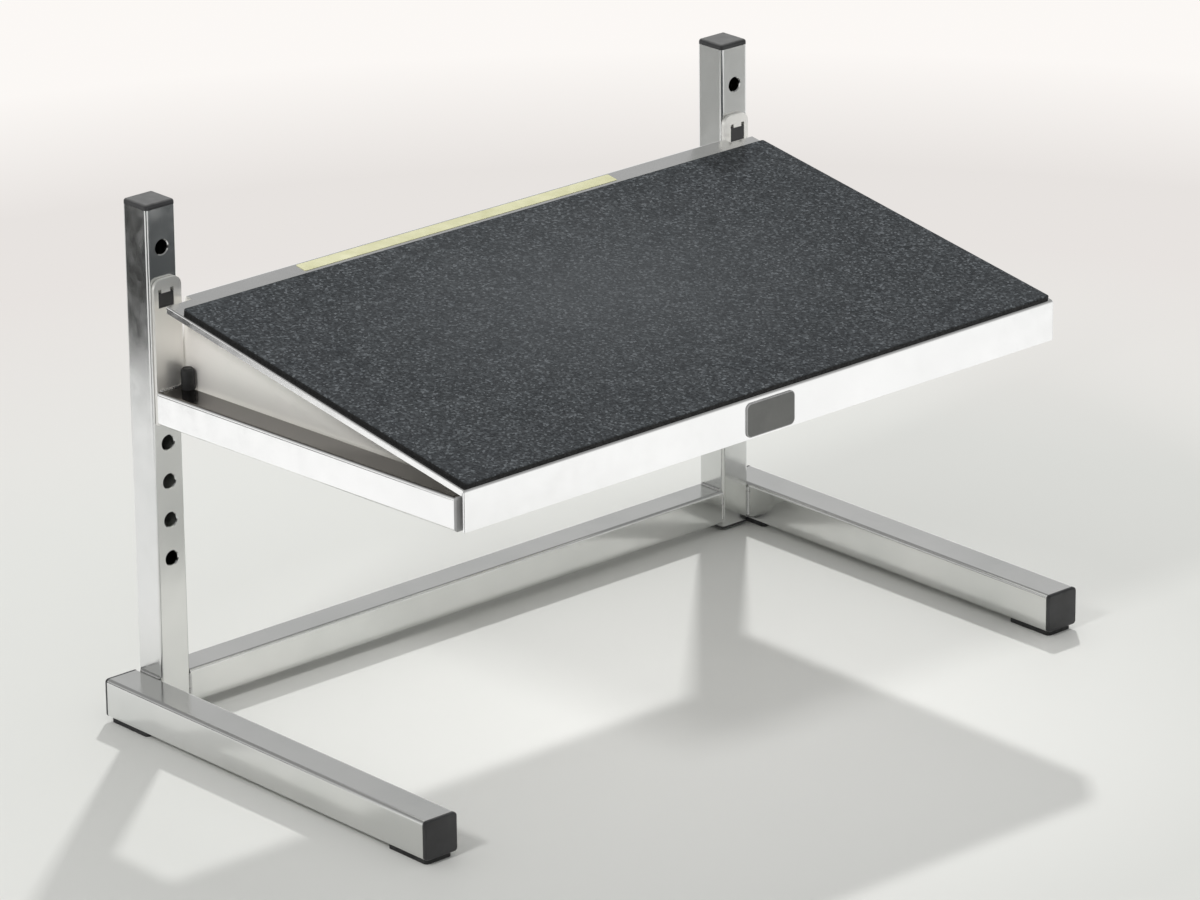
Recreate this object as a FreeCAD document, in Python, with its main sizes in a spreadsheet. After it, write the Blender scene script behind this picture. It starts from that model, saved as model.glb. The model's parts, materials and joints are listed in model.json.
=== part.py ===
import FreeCAD, Part
import math
import os

import Sketcher

# Footrest with a tilting tread on a carrier that hooks into two perforated posts.
# Frame: X to the right, Y to the rear, Z up, millimetres.
# The origin lies on the floor, in the middle of the footprint.

# Driving sizes: name, value in millimetres (or degrees, or a count), meaning
SIZES = [
    ("overall_width", 650, "outer face of one floor runner to the other"),
    ("foot_tube", 30, "side of the square floor runner"),
    ("foot_wall", 2, "wall of the floor runner"),
    ("foot_corner", 3, "outer corner radius of the floor runner"),
    ("foot_reach", 329, "runner tube in front of the posts' front faces"),
    ("cap_head", 3, "visible thickness of an end cap"),
    ("cap_rounding", 1.6, "rounding round the face of an end cap"),
    ("cap_skirt", 14, "depth of a cap's skirt inside its tube"),
    ("cap_wall", 1.8, "wall of a cap's skirt"),
    ("cap_play", 0.15, "gap between a cap's skirt and its tube, each side"),
    ("pad_thickness", 4, "rubber pad under a runner's end"),
    ("pad_length", 42, "rubber pad along the runner"),
    ("pad_width", 24, "rubber pad across the runner"),
    ("pad_corner", 3, "corner radius of the rubber pad"),
    ("post_tube", 27, "side of the square post"),
    ("post_wall", 2, "wall of the post"),
    ("post_corner", 2.5, "outer corner radius of the post"),
    ("post_top", 396, "floor to the top end of the post's tube"),
    ("plug_head", 4, "visible thickness of the plug in a post's top"),
    ("plug_rounding", 2.4, "rounding round the face of that plug"),
    ("lower_plug_head", 2, "visible thickness of the plug in a post's lower end"),
    ("lower_plug_rounding", 1, "rounding round the face of the lower plug"),
    ("hole_diameter", 11, "hooking hole in the post's front wall"),
    ("hole_pitch", 30, "hooking holes, centre to centre"),
    ("hole_first", 30, "top of the post's tube to the first hole"),
    ("hole_count", 9, "holes in one post"),
    ("hole_bevel", 0.7, "bevel round a hole's mouth"),
    ("tie_tube", 27, "side of the square tube between the posts"),
    ("tie_wall", 2, "wall of the tube between the posts"),
    ("arm_width", 25, "arm tube across"),
    ("arm_height", 25.5, "arm tube, height"),
    ("arm_wall", 1.5, "wall of the arm tube"),
    ("arm_corner", 2.5, "outer corner radius of the arm tube"),
    ("arm_inset", 2.5, "arm's outer face inboard of the post's outer face"),
    ("arm_tilt", 1.7, "degrees by which the arm rises towards its front end"),
    ("arm_overhang", 13, "arm tube in front of the hinge"),
    ("arm_cap_head", 2, "visible thickness of the arm's plug"),
    ("arm_cap_skirt", 5, "depth of the arm plug's skirt"),
    ("plate_thickness", 3, "hook plate and cheek sheet"),
    ("plate_gap", 0.3, "gap between hook plate and post"),
    ("plate_above", 7, "hook plate above the upper hooking hole's centre"),
    ("plate_corner", 7, "radius of the hook plate's top corners"),
    ("hook_hole_count", 2, "holes from the top down to the one that takes the upper hook"),
    ("hook_step_count", 2, "hole pitches from the upper hook down to the lower one"),
    ("hook_width", 8, "width of a lanced hook"),
    ("hook_lip", 7, "how far a hook reaches down behind the post's wall"),
    ("hook_play", 0.3, "gap between a hook and the hole or wall it sits on"),
    ("window_width", 14, "window that the lanced hook leaves in the plate"),
    ("window_height", 14, "height of that window"),
    ("pad_play", 0.1, "gap between the plate's plastic pad and its window"),
    ("pad_recess", 0.4, "front face of that pad behind the plate's"),
    ("rail_tube", 20, "side of the tube that ties the arms together"),
    ("rail_wall", 1.5, "wall of that tube"),
    ("rail_setback", 18, "front face of that tube behind the hinge"),
    ("rail_top", 1, "top of that tube above the hinge"),
    ("buffer_diameter", 10.4, "rubber stop on the arm"),
    ("buffer_bevel", 1.5, "bevel round the stop's top"),
    ("buffer_room", 4, "room between the stop and the hook plate"),
    ("buffer_offset", 9, "stop's axis inboard of the arm's middle"),
    ("stop_gap", 0.5, "air over the stop when the tread lies flat"),
    ("hinge_forward", 318, "hinge in front of the posts' front faces"),
    ("hinge_drop", 21, "hinge below the hole that takes the lower hook"),
    ("stud_diameter", 8, "hinge stud"),
    ("stud_fit", 0.1, "radial clearance of what turns on the stud"),
    ("stud_grip", 9, "stud's length inside the knob"),
    ("disc_diameter", 24, "friction disc between arm and cheek"),
    ("disc_thickness", 2, "thickness of the friction disc"),
    ("side_play", 0.2, "play beside the cheek when the knob is eased"),
    ("washer_diameter", 17, "washer under the knob"),
    ("washer_thickness", 1.6, "thickness of the washer"),
    ("knob_core", 20, "diameter between the knob's lobes"),
    ("knob_lobe", 7, "diameter of one lobe"),
    ("knob_lobe_circle", 20.5, "circle on which the lobes sit"),
    ("knob_lobe_count", 6, "lobes of the knob"),
    ("knob_thickness", 14, "thickness of the knob"),
    ("knob_rounding", 1.2, "rounding of the knob's inner face"),
    ("tread_tilt", 9, "degrees by which the tread's rear stands up"),
    ("lowest_tilt", 0, "degrees of the same at the lowest setting"),
    ("tread_width", 578, "folded sheet across"),
    ("tread_nose", 17, "front corner of the sheet in front of the hinge"),
    ("tread_rear_gap", 2.2, "room between the level tread's rear corners and the hook plates"),
    ("tongue", 9, "how far the sheet reaches back between the posts, behind its rear corners"),
    ("tread_rise", 22, "sheet's top above the hinge, square to the sheet"),
    ("sheet", 2, "thickness of the folded sheet"),
    ("bend_radius", 3, "outer radius of a fold"),
    ("flange_drop", 31, "front flange, top to bottom"),
    ("flange_tilt", 9, "degrees by which the front flange opens"),
    ("hem_drop", 5, "side hem, top to bottom"),
    ("rear_drop", 14, "rear fold, top to bottom"),
    ("ear_radius", 12, "cheek round the hinge, to its lower edges"),
    ("cheek_step", 3, "cheek's edge over the tie tube, above the hinge"),
    ("cheek_clear", 4, "room between the cheek and the tie tube's rear"),
    ("cheek_front_drop", 9, "cheek's lower edge below the hinge, front"),
    ("cheek_rear_drop", 52, "cheek's lower edge below the hinge, rear"),
    ("cheek_rear_gap", 0.3, "gap between the cheek and the rear fold"),
    ("mat_thickness", 4, "anti-slip mat"),
    ("mat_front", 1.5, "mat's front edge behind the sheet's front corner"),
    ("mat_side", 3.5, "bare rim beside the mat"),
    ("mat_rear", 14.5, "bare margin behind the mat, at the rear corners"),
    ("mat_corner", 2, "corner radius of the mat"),
    ("badge_width", 46, "plate on the front flange, across"),
    ("badge_height", 25, "plate on the front flange, upwards"),
    ("badge_corner", 4, "corner radius of that plate"),
    ("badge_thickness", 1.2, "thickness of that plate"),
    ("strip_length", 307, "coloured strip on the rear margin"),
    ("strip_width", 11, "width of that strip"),
    ("strip_inset", 4, "strip in front of the rear fold"),
    ("strip_shift", -11, "middle of that strip to the right of the tread's middle"),
    ("strip_thickness", 0.3, "thickness of that strip"),
]

PARTS_FOLDER = "parts"

document = FreeCAD.newDocument("Footrest")
sheet_of_sizes = document.addObject("Spreadsheet::Sheet", "Sizes")
for row, (alias, amount, meaning) in enumerate(SIZES, start=1):
    sheet_of_sizes.set(f"A{row}", meaning)
    sheet_of_sizes.set(f"B{row}", str(amount))
    sheet_of_sizes.setAlias(f"B{row}", alias)
document.recompute()


# Terms: a value together with the formula that gives it from the spreadsheet

class Term:
    """A number and the spreadsheet formula behind it, so that a size is written only once."""

    def __init__(self, value, text):
        self.value = value
        self.text = text

    def __add__(self, other):
        other = term(other)
        return Term(self.value + other.value, f"({self.text} + {other.text})")

    def __sub__(self, other):
        other = term(other)
        return Term(self.value - other.value, f"({self.text} - {other.text})")

    def __mul__(self, other):
        other = term(other)
        return Term(self.value * other.value, f"({self.text} * {other.text})")

    def __truediv__(self, other):
        other = term(other)
        return Term(self.value / other.value, f"({self.text} / {other.text})")

    def __neg__(self):
        return Term(-self.value, f"(0 - {self.text})")

    __radd__ = __add__
    __rmul__ = __mul__

    def __rsub__(self, other):
        return term(other) - self


def term(value):
    """Turns a plain number into a term; a term stays as it is."""
    if isinstance(value, Term):
        return value
    return Term(float(value), repr(float(value)))


def sine(angle):
    return Term(math.sin(math.radians(angle.value)), f"sin({angle.text} * 1 deg)")


def cosine(angle):
    return Term(math.cos(math.radians(angle.value)), f"cos({angle.text} * 1 deg)")


def tangent(angle):
    return sine(angle) / cosine(angle)


def square_root(value):
    return Term(math.sqrt(value.value), f"sqrt({value.text})")


def size(alias):
    return Term(float(sheet_of_sizes.get(alias)), f"Sizes.{alias}")


def bind(thing, name, value):
    """Ties one property or constraint of an object to a term."""
    thing.setExpression(name, term(value).text)


# Sketches

def new_body(label):
    body = document.addObject("PartDesign::Body", label)
    body.Label = label
    return body


def new_sketch(body, role, offset=0):
    """A sketch on one of the body's own origin planes, moved along that plane's normal."""
    sketch = body.newObject("Sketcher::SketchObject", body.Label + "_sketch")
    plane = next(feature for feature in body.Origin.OriginFeatures if feature.Role == role)
    sketch.AttachmentSupport = [(plane, "")]
    sketch.MapMode = "FlatFace"
    shift = FreeCAD.Vector(0, 0, term(offset).value)
    sketch.AttachmentOffset = FreeCAD.Placement(shift, FreeCAD.Rotation())
    bind(sketch, "AttachmentOffset.Base.z", offset)
    return sketch


def fix(sketch, kind, geometry, value):
    """Adds a dimension whose value comes from the spreadsheet."""
    value = term(value)
    index = sketch.addConstraint(Sketcher.Constraint(kind, *geometry, value.value))
    if "Sizes" in value.text:
        bind(sketch, f"Constraints[{index}]", value)


def polygon(sketch, corners):
    """A closed outline whose corners are each placed from the sketch's origin."""
    corners = [(term(across), term(up)) for across, up in corners]
    first = sketch.GeometryCount
    count = len(corners)
    points = [FreeCAD.Vector(across.value, up.value, 0) for across, up in corners]
    for index in range(count):
        sketch.addGeometry(Part.LineSegment(points[index], points[(index + 1) % count]), False)
    for index in range(count):
        following = first + (index + 1) % count
        sketch.addConstraint(Sketcher.Constraint("Coincident", first + index, 2, following, 1))
    for index, (across, up) in enumerate(corners):
        fix(sketch, "DistanceX", (-1, 1, first + index, 1), across)
        fix(sketch, "DistanceY", (-1, 1, first + index, 1), up)


def rectangle(sketch, width, height, middle_across=0, middle_up=0):
    across, up = term(middle_across), term(middle_up)
    half, rise = term(width) / 2, term(height) / 2
    corners = [(across - half, up - rise), (across + half, up - rise)]
    corners += [(across + half, up + rise), (across - half, up + rise)]
    polygon(sketch, corners)


def rounded_rectangle(sketch, width, height, radius):
    """A rectangle about the sketch's origin with four equal corner arcs."""
    width, height, radius = term(width), term(height), term(radius)
    across, up = width.value / 2, height.value / 2
    turn = radius.value
    first = sketch.GeometryCount
    centres = [(across - turn, turn - up), (across - turn, up - turn)]
    centres += [(turn - across, up - turn), (turn - across, turn - up)]
    starts = [(turn - across, -up), (across, turn - up), (across - turn, up), (-across, up - turn)]
    ends = [(across - turn, -up), (across, up - turn), (turn - across, up), (-across, turn - up)]
    for corner in range(4):
        line = Part.LineSegment(FreeCAD.Vector(*starts[corner], 0), FreeCAD.Vector(*ends[corner], 0))
        circle = Part.Circle(FreeCAD.Vector(*centres[corner], 0), FreeCAD.Vector(0, 0, 1), turn)
        begin = (corner - 1) * math.pi / 2
        sketch.addGeometry(line, False)
        sketch.addGeometry(Part.ArcOfCircle(circle, begin, begin + math.pi / 2), False)
    for corner in range(4):
        line = first + 2 * corner
        arc = line + 1
        next_line = first + (2 * corner + 2) % 8
        sketch.addConstraint(Sketcher.Constraint("Tangent", line, 2, arc, 1))
        sketch.addConstraint(Sketcher.Constraint("Tangent", arc, 2, next_line, 1))
        sketch.addConstraint(Sketcher.Constraint(("Horizontal", "Vertical")[corner % 2], line))
    for corner in range(1, 4):
        sketch.addConstraint(Sketcher.Constraint("Equal", first + 1, first + 2 * corner + 1))
    fix(sketch, "Radius", (first + 1,), radius)
    low_left, high_right = first + 7, first + 3
    fix(sketch, "DistanceX", (-1, 1, low_left, 3), radius - width / 2)
    fix(sketch, "DistanceY", (-1, 1, low_left, 3), radius - height / 2)
    fix(sketch, "DistanceX", (-1, 1, high_right, 3), width / 2 - radius)
    fix(sketch, "DistanceY", (-1, 1, high_right, 3), height / 2 - radius)


def circle(sketch, diameter, middle_across=0, middle_up=0):
    diameter, across, up = term(diameter), term(middle_across), term(middle_up)
    centre = FreeCAD.Vector(across.value, up.value, 0)
    index = sketch.GeometryCount
    shape = Part.Circle(centre, FreeCAD.Vector(0, 0, 1), diameter.value / 2)
    sketch.addGeometry(shape, False)
    fix(sketch, "Diameter", (index,), diameter)
    fix(sketch, "DistanceX", (-1, 1, index, 3), across)
    fix(sketch, "DistanceY", (-1, 1, index, 3), up)


# Features

def pad(body, sketch, length, both_ways=False, backwards=False):
    feature = body.newObject("PartDesign::Pad", body.Label + "_pad")
    feature.Profile = sketch
    bind(feature, "Length", length)
    feature.Midplane = both_ways
    feature.Reversed = backwards
    sketch.Visibility = False
    return feature


def pocket(body, sketch, depth, both_ways=False, backwards=False):
    """Cuts into the body and checks that something was really cut away."""
    document.recompute()
    before = body.Shape.Volume
    feature = body.newObject("PartDesign::Pocket", body.Label + "_pocket")
    feature.Profile = sketch
    bind(feature, "Length", depth)
    feature.Midplane = both_ways
    feature.Reversed = backwards
    document.recompute()
    if body.Shape.Volume >= before:
        raise RuntimeError(f"{body.Label}: a pocket cuts nothing")
    return feature


def edge_names(body, chosen):
    """Names of the edges of the body's latest feature for which chosen(edge) is true."""
    document.recompute()
    edges = body.Tip.Shape.Edges
    return [f"Edge{number}" for number, edge in enumerate(edges, start=1) if chosen(edge)]


def dress(body, kind, name, value, chosen):
    """Adds a fillet or a chamfer on the chosen edges."""
    names = edge_names(body, chosen)
    if not names:
        raise RuntimeError(f"{body.Label}: no edge to finish")
    feature = body.newObject(kind, body.Label + "_finish")
    feature.Base = (body.Tip if body.Tip != feature else feature.BaseFeature, names)
    bind(feature, name, value)
    document.recompute()
    return feature


def fillet(body, radius, chosen):
    return dress(body, "PartDesign::Fillet", "Radius", radius, chosen)


def chamfer(body, reach, chosen):
    return dress(body, "PartDesign::Chamfer", "Size", reach, chosen)


def lies_at(axis, place):
    """Chooses edges that lie whole in the plane where one coordinate has a given value."""

    def chosen(edge):
        box = edge.BoundBox
        low, high = {"x": (box.XMin, box.XMax), "y": (box.YMin, box.YMax), "z": (box.ZMin, box.ZMax)}[axis]
        return abs(low - place.value) < 1e-4 and abs(high - place.value) < 1e-4

    return chosen


def put(thing, across=0, back=0, up=0, rotation=None):
    """Places a finished piece; its position is tied to the spreadsheet."""
    across, back, up = term(across), term(back), term(up)
    place = FreeCAD.Vector(across.value, back.value, up.value)
    thing.Placement = FreeCAD.Placement(place, rotation or FreeCAD.Rotation())
    for letter, value in zip("xyz", (across, back, up)):
        if "Sizes" in value.text:
            bind(thing, "Placement.Base." + letter, value)
    return thing


def about(x, y, z, degrees):
    return FreeCAD.Rotation(FreeCAD.Vector(x, y, z), degrees)


# Places that several pieces share

sheet_rise = size("tread_rise")
tilt = size("tread_tilt")
hinge_forward = size("hinge_forward")
upper_hole = size("post_top") - size("hole_first") - (size("hook_hole_count") - 1) * size("hole_pitch")
lower_hole = upper_hole - size("hook_step_count") * size("hole_pitch")
hinge_height = lower_hole - size("hinge_drop")
tread_back = hinge_forward - size("plate_gap") - size("plate_thickness") - size("tread_rear_gap")
buffer_setback = size("plate_gap") + size("plate_thickness") + size("buffer_room") \
    + size("buffer_diameter") / 2
tongue_back = tread_back + size("tongue")
flange_face = hinge_forward + size("tread_nose") * cosine(tilt) + sheet_rise * sine(tilt)
front_extent = flange_face + size("badge_thickness")
rear_extent = size("post_tube") + size("cap_head")
front_plane = (front_extent - rear_extent) / 2
hinge_back = front_plane - hinge_forward

foot_centre = (size("overall_width") - size("foot_tube")) / 2
foot_bottom = size("pad_thickness")
foot_top = foot_bottom + size("foot_tube")
post_outer = size("overall_width") / 2 - size("foot_tube")
post_centre = post_outer - size("post_tube") / 2
post_inner = post_outer - size("post_tube")
arm_centre = post_outer - size("arm_inset") - size("arm_width") / 2
arm_inner = arm_centre - size("arm_width") / 2
arm_slope = tangent(size("arm_tilt"))
plate_back = front_plane - size("plate_gap")
arm_rear = plate_back - size("plate_thickness")
arm_run = arm_rear - hinge_back
arm_rear_height = hinge_height - arm_run * arm_slope

cheek_outer = arm_inner - size("disc_thickness") - size("side_play")
cheek_inner = cheek_outer - size("plate_thickness")
washer_outer = cheek_inner - size("side_play")
knob_outer = washer_outer - size("washer_thickness")
sheet_under = sheet_rise - size("sheet")

SIDES = (("left", -1), ("right", 1))
TREAD_TURN = about(1, 0, 0, tilt.value)
pieces = []


def keep(piece):
    pieces.append(piece)
    return piece


# Tubes, caps and pads

def tube(label, role, width, height, wall, corner, length, both_ways=False):
    """A rectangular tube with rounded corners, its section on one of the origin planes."""
    body = new_body(label)
    section = new_sketch(body, role)
    rounded_rectangle(section, width, height, corner)
    rounded_rectangle(section, width - wall * 2, height - wall * 2, corner - wall * 0.6)
    pad(body, section, length, both_ways)
    return keep(body)


def cap(label, width, height, corner, head, rounding, skirt, skirt_width, skirt_height):
    """A plastic cap: a rounded head above the plane z = 0 and a hollow skirt below it."""
    body = new_body(label)
    face = new_sketch(body, "XY_Plane")
    rounded_rectangle(face, width, height, corner)
    pad(body, face, head)
    fillet(body, rounding, lies_at("z", head))
    ring = new_sketch(body, "XY_Plane")
    wall = size("cap_wall")
    rounded_rectangle(ring, skirt_width, skirt_height, corner)
    rounded_rectangle(ring, skirt_width - wall * 2, skirt_height - wall * 2, corner - wall * 0.6)
    pad(body, ring, skirt, backwards=True)
    return keep(body)


def square_cap(label, side, wall, corner, head, rounding=size("cap_rounding")):
    inside = side - wall * 2 - size("cap_play") * 2
    return cap(label, side, side, corner, head, rounding, size("cap_skirt"), inside, inside)


def build_feet():
    side = size("foot_tube")
    length = size("foot_reach") + size("post_tube")
    middle_height = foot_bottom + side / 2
    front_end = front_plane - size("foot_reach")
    rear_end = front_plane + size("post_tube")
    for name, sign in SIDES:
        across = foot_centre * sign
        runner = tube("foot_tube_" + name, "XZ_Plane", side, side, size("foot_wall"),
                      size("foot_corner"), length)
        put(runner, across, rear_end, middle_height)
        ends = (("front", front_end, 90), ("rear", rear_end, -90))
        for end, back, turn in ends:
            piece = square_cap(f"foot_cap_{end}_{name}", side, size("foot_wall"),
                               size("foot_corner"), size("cap_head"))
            put(piece, across, back, middle_height, about(1, 0, 0, turn))
        half = size("pad_length") / 2
        for end, back in (("front", front_end + half), ("rear", rear_end - half)):
            rubber = new_body(f"foot_pad_{end}_{name}")
            outline = new_sketch(rubber, "XY_Plane")
            rounded_rectangle(outline, size("pad_width"), size("pad_length"), size("pad_corner"))
            pad(rubber, outline, size("pad_thickness"))
            put(keep(rubber), across, back, 0)


def build_posts():
    side = size("post_tube")
    length = size("post_top") - foot_bottom
    for name, sign in SIDES:
        across = post_centre * sign
        post = tube("upright_" + name, "XY_Plane", side, side, size("post_wall"),
                    size("post_corner"), length)
        mouth = new_sketch(post, "XZ_Plane", side / 2)
        circle(mouth, size("hole_diameter"), 0, length - size("hole_first"))
        hole = pocket(post, mouth, size("post_wall") + 1)
        column = post.newObject("PartDesign::LinearPattern", post.Label + "_holes")
        column.Originals = [hole]
        column.Direction = (mouth, ["V_Axis"])
        column.Reversed = True
        bind(column, "Length", size("hole_pitch") * (size("hole_count") - 1))
        bind(column, "Occurrences", size("hole_count"))
        post.Tip = column
        front = lies_at("y", -side / 2)
        chamfer(post, size("hole_bevel"), lambda edge: len(edge.Vertexes) == 1 and front(edge))
        put(post, across, front_plane + side / 2, foot_bottom)
        plug = square_cap("upright_plug_" + name, side, size("post_wall"), size("post_corner"),
                          size("plug_head"), size("plug_rounding"))
        put(plug, across, front_plane + side / 2, size("post_top"))
        lower_plug = square_cap("upright_lower_plug_" + name, side, size("post_wall"),
                                size("post_corner"), size("lower_plug_head"),
                                size("lower_plug_rounding"))
        put(lower_plug, across, front_plane + side / 2, foot_bottom, about(1, 0, 0, 180))


def build_tie():
    """The tube between the posts: its top is level with the runners' tops."""
    side = size("tie_tube")
    body = tube("cross_tube", "YZ_Plane", side, side, size("tie_wall"), size("post_corner"),
                post_inner * 2, both_ways=True)
    put(body, 0, front_plane + side / 2, foot_top - side / 2)


# Carrier

def build_arms():
    """The arms rise a little towards the front, and both their ends are cut upright."""
    width, height, wall = size("arm_width"), size("arm_height"), size("arm_wall")
    rise = size("arm_tilt")
    length = arm_run + size("arm_overhang")
    front_height = hinge_height + size("arm_overhang") * arm_slope
    for name, sign in SIDES:
        body = tube("arm_" + name, "XZ_Plane", width, height, wall, size("arm_corner"), length)
        prism = body.Tip
        prism.UseCustomVector = True
        prism.AlongSketchNormal = True
        prism.Direction = FreeCAD.Vector(0, -1, 0)
        bind(prism, "Direction.z", tangent(rise))
        put(body, arm_centre * sign, arm_rear, arm_rear_height)
        inside = wall + size("cap_play") + 0.3
        plug = cap("arm_cap_" + name, width, height, size("arm_corner"), size("arm_cap_head"), 1,
                   size("arm_cap_skirt"), width - inside * 2, height - inside * 2)
        put(plug, arm_centre * sign, hinge_back - size("arm_overhang"), front_height,
            about(1, 0, 0, 90))


def build_rail():
    """The tube behind the hinge that ties both arms together."""
    side = size("rail_tube")
    body = tube("front_rail", "YZ_Plane", side, side, size("rail_wall"), size("arm_corner"),
                arm_inner * 2, both_ways=True)
    put(body, 0, hinge_back + size("rail_setback") + side / 2,
        hinge_height + size("rail_top") - side / 2)


def build_hook_plates():
    """A plate in front of each post with two hooks in its holes: the upper hook is lanced and bent
    back from a window, which a plastic pad fills, and the lower one is set into the plate."""
    thick = size("plate_thickness")
    play = size("hook_play")
    half_hook = size("hook_width") / 2
    hole_radius = size("hole_diameter") / 2
    seat = square_root(hole_radius * hole_radius - half_hook * half_hook) - play
    below = lower_hole - arm_rear_height + size("arm_height") / 2
    above = upper_hole - lower_hole + size("plate_above")
    wall_inside = size("plate_gap") + size("post_wall") + play
    for name, sign in SIDES:
        body = new_body("hook_plate_" + name)
        half = size("arm_width") / 2
        shift = (post_centre - arm_centre) * sign
        outline = new_sketch(body, "XZ_Plane")
        polygon(outline, [(-half, -below), (half, -below), (half, above), (-half, above)])
        pad(body, outline, thick)

        def is_top_corner(edge):
            box = edge.BoundBox
            upright = box.ZLength < 1e-6 and box.XLength < 1e-6
            return upright and abs(box.ZMax - above.value) < 1e-4

        fillet(body, size("plate_corner"), is_top_corner)
        window_top = upper_hole - lower_hole - seat + thick
        window_bottom = window_top - size("window_height")
        window = new_sketch(body, "XZ_Plane")
        rectangle(window, size("window_width"), size("window_height"), shift,
                  (window_top + window_bottom) / 2)
        pocket(body, window, thick * 4, both_ways=True)
        for height in (0, upper_hole - lower_hole):
            hook_top = height - seat + thick
            hook_under = height - seat
            tip = hook_under - size("hook_lip")
            profile = new_sketch(body, "YZ_Plane", shift)
            polygon(profile, [(-thick, hook_under), (wall_inside, hook_under), (wall_inside, tip),
                              (wall_inside + thick, tip), (wall_inside + thick, hook_top),
                              (-thick, hook_top)])
            pad(body, profile, size("hook_width"), both_ways=True)
        put(keep(body), arm_centre * sign, plate_back, lower_hole)

        filler = new_body("plate_pad_" + name)
        pad_top = window_top - thick - size("pad_play")
        pad_bottom = window_bottom + size("pad_play")
        face = new_sketch(filler, "XZ_Plane")
        rectangle(face, size("window_width") - size("pad_play") * 2, pad_top - pad_bottom, shift,
                  (pad_top + pad_bottom) / 2)
        pad(filler, face, thick - size("pad_recess"))
        put(keep(filler), arm_centre * sign, plate_back, lower_hole)


def build_buffers():
    """Rubber stops on the arms: the tread's sheet comes down on them when it lies flat."""
    run = hinge_forward - buffer_setback
    lowest = size("lowest_tilt")
    sheet_height = run * tangent(lowest) + sheet_under / cosine(lowest)
    seat_height = size("arm_height") / 2 - run * arm_slope
    height = sheet_height - seat_height - size("stop_gap")
    radius, bevel = size("buffer_diameter") / 2, size("buffer_bevel")
    for name, sign in SIDES:
        body = new_body("stop_buffer_" + name)
        profile = new_sketch(body, "XZ_Plane")
        polygon(profile, [(0, 0), (radius, 0), (radius, height - bevel), (radius - bevel, height),
                          (0, height)])
        turned = body.newObject("PartDesign::Revolution", body.Label + "_turned")
        turned.Profile = profile
        turned.ReferenceAxis = (profile, ["V_Axis"])
        turned.Angle = 360
        put(keep(body), (arm_centre - size("buffer_offset")) * sign,
            front_plane - buffer_setback, hinge_height + seat_height,
            about(1, 0, 0, -size("arm_tilt").value))


# Hinge and clamp

def ring(label, outer, inner, thickness):
    body = new_body(label)
    outline = new_sketch(body, "XY_Plane")
    circle(outline, outer)
    circle(outline, inner)
    pad(body, outline, thickness)
    return keep(body)


def build_clamps():
    """On each side a welded stud, a friction disc, a washer and a star knob, from the arm inwards."""
    loose = size("stud_diameter") + size("stud_fit") * 2
    stud_length = arm_inner - knob_outer + size("stud_grip")
    for name, sign in SIDES:
        inwards = about(0, 1, 0, -90 * sign)
        places = {"back": hinge_back, "up": hinge_height, "rotation": inwards}
        stud = new_body("hinge_stud_" + name)
        section = new_sketch(stud, "XY_Plane")
        circle(section, size("stud_diameter"))
        pad(stud, section, stud_length)
        chamfer(stud, 1, lies_at("z", stud_length))
        put(keep(stud), arm_inner * sign, **places)
        disc = ring("friction_disc_" + name, size("disc_diameter"), loose, size("disc_thickness"))
        put(disc, arm_inner * sign, **places)
        washer = ring("clamp_washer_" + name, size("washer_diameter"), loose,
                      size("washer_thickness"))
        put(washer, washer_outer * sign, **places)
        put(star_knob("clamp_knob_" + name, loose), knob_outer * sign, **places)


def star_knob(label, bore):
    """A knob with lobes round a core, a rounded face and a blind bore for the stud."""
    body = new_body(label)
    thickness = size("knob_thickness")
    core = new_sketch(body, "XY_Plane")
    circle(core, size("knob_core"))
    pad(body, core, thickness)
    lobe_sketch = new_sketch(body, "XY_Plane")
    circle(lobe_sketch, size("knob_lobe"), size("knob_lobe_circle") / 2)
    lobe = pad(body, lobe_sketch, thickness)
    document.recompute()
    lobes = body.newObject("PartDesign::PolarPattern", label + "_lobes")
    lobes.Originals = [lobe]
    lobes.Axis = (lobe_sketch, ["N_Axis"])
    lobes.Angle = 360
    bind(lobes, "Occurrences", size("knob_lobe_count"))
    body.Tip = lobes
    fillet(body, size("knob_rounding"), lies_at("z", thickness))
    mouth = new_sketch(body, "XY_Plane")
    circle(mouth, bore)
    pocket(body, mouth, size("stud_grip") + 1, backwards=True)
    return keep(body)


# Tread

def on_tread(piece, across=0):
    """Places a piece that is drawn in the tread's own frame, with the hinge at its origin."""
    return put(piece, across, hinge_back, hinge_height, TREAD_TURN)


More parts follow.
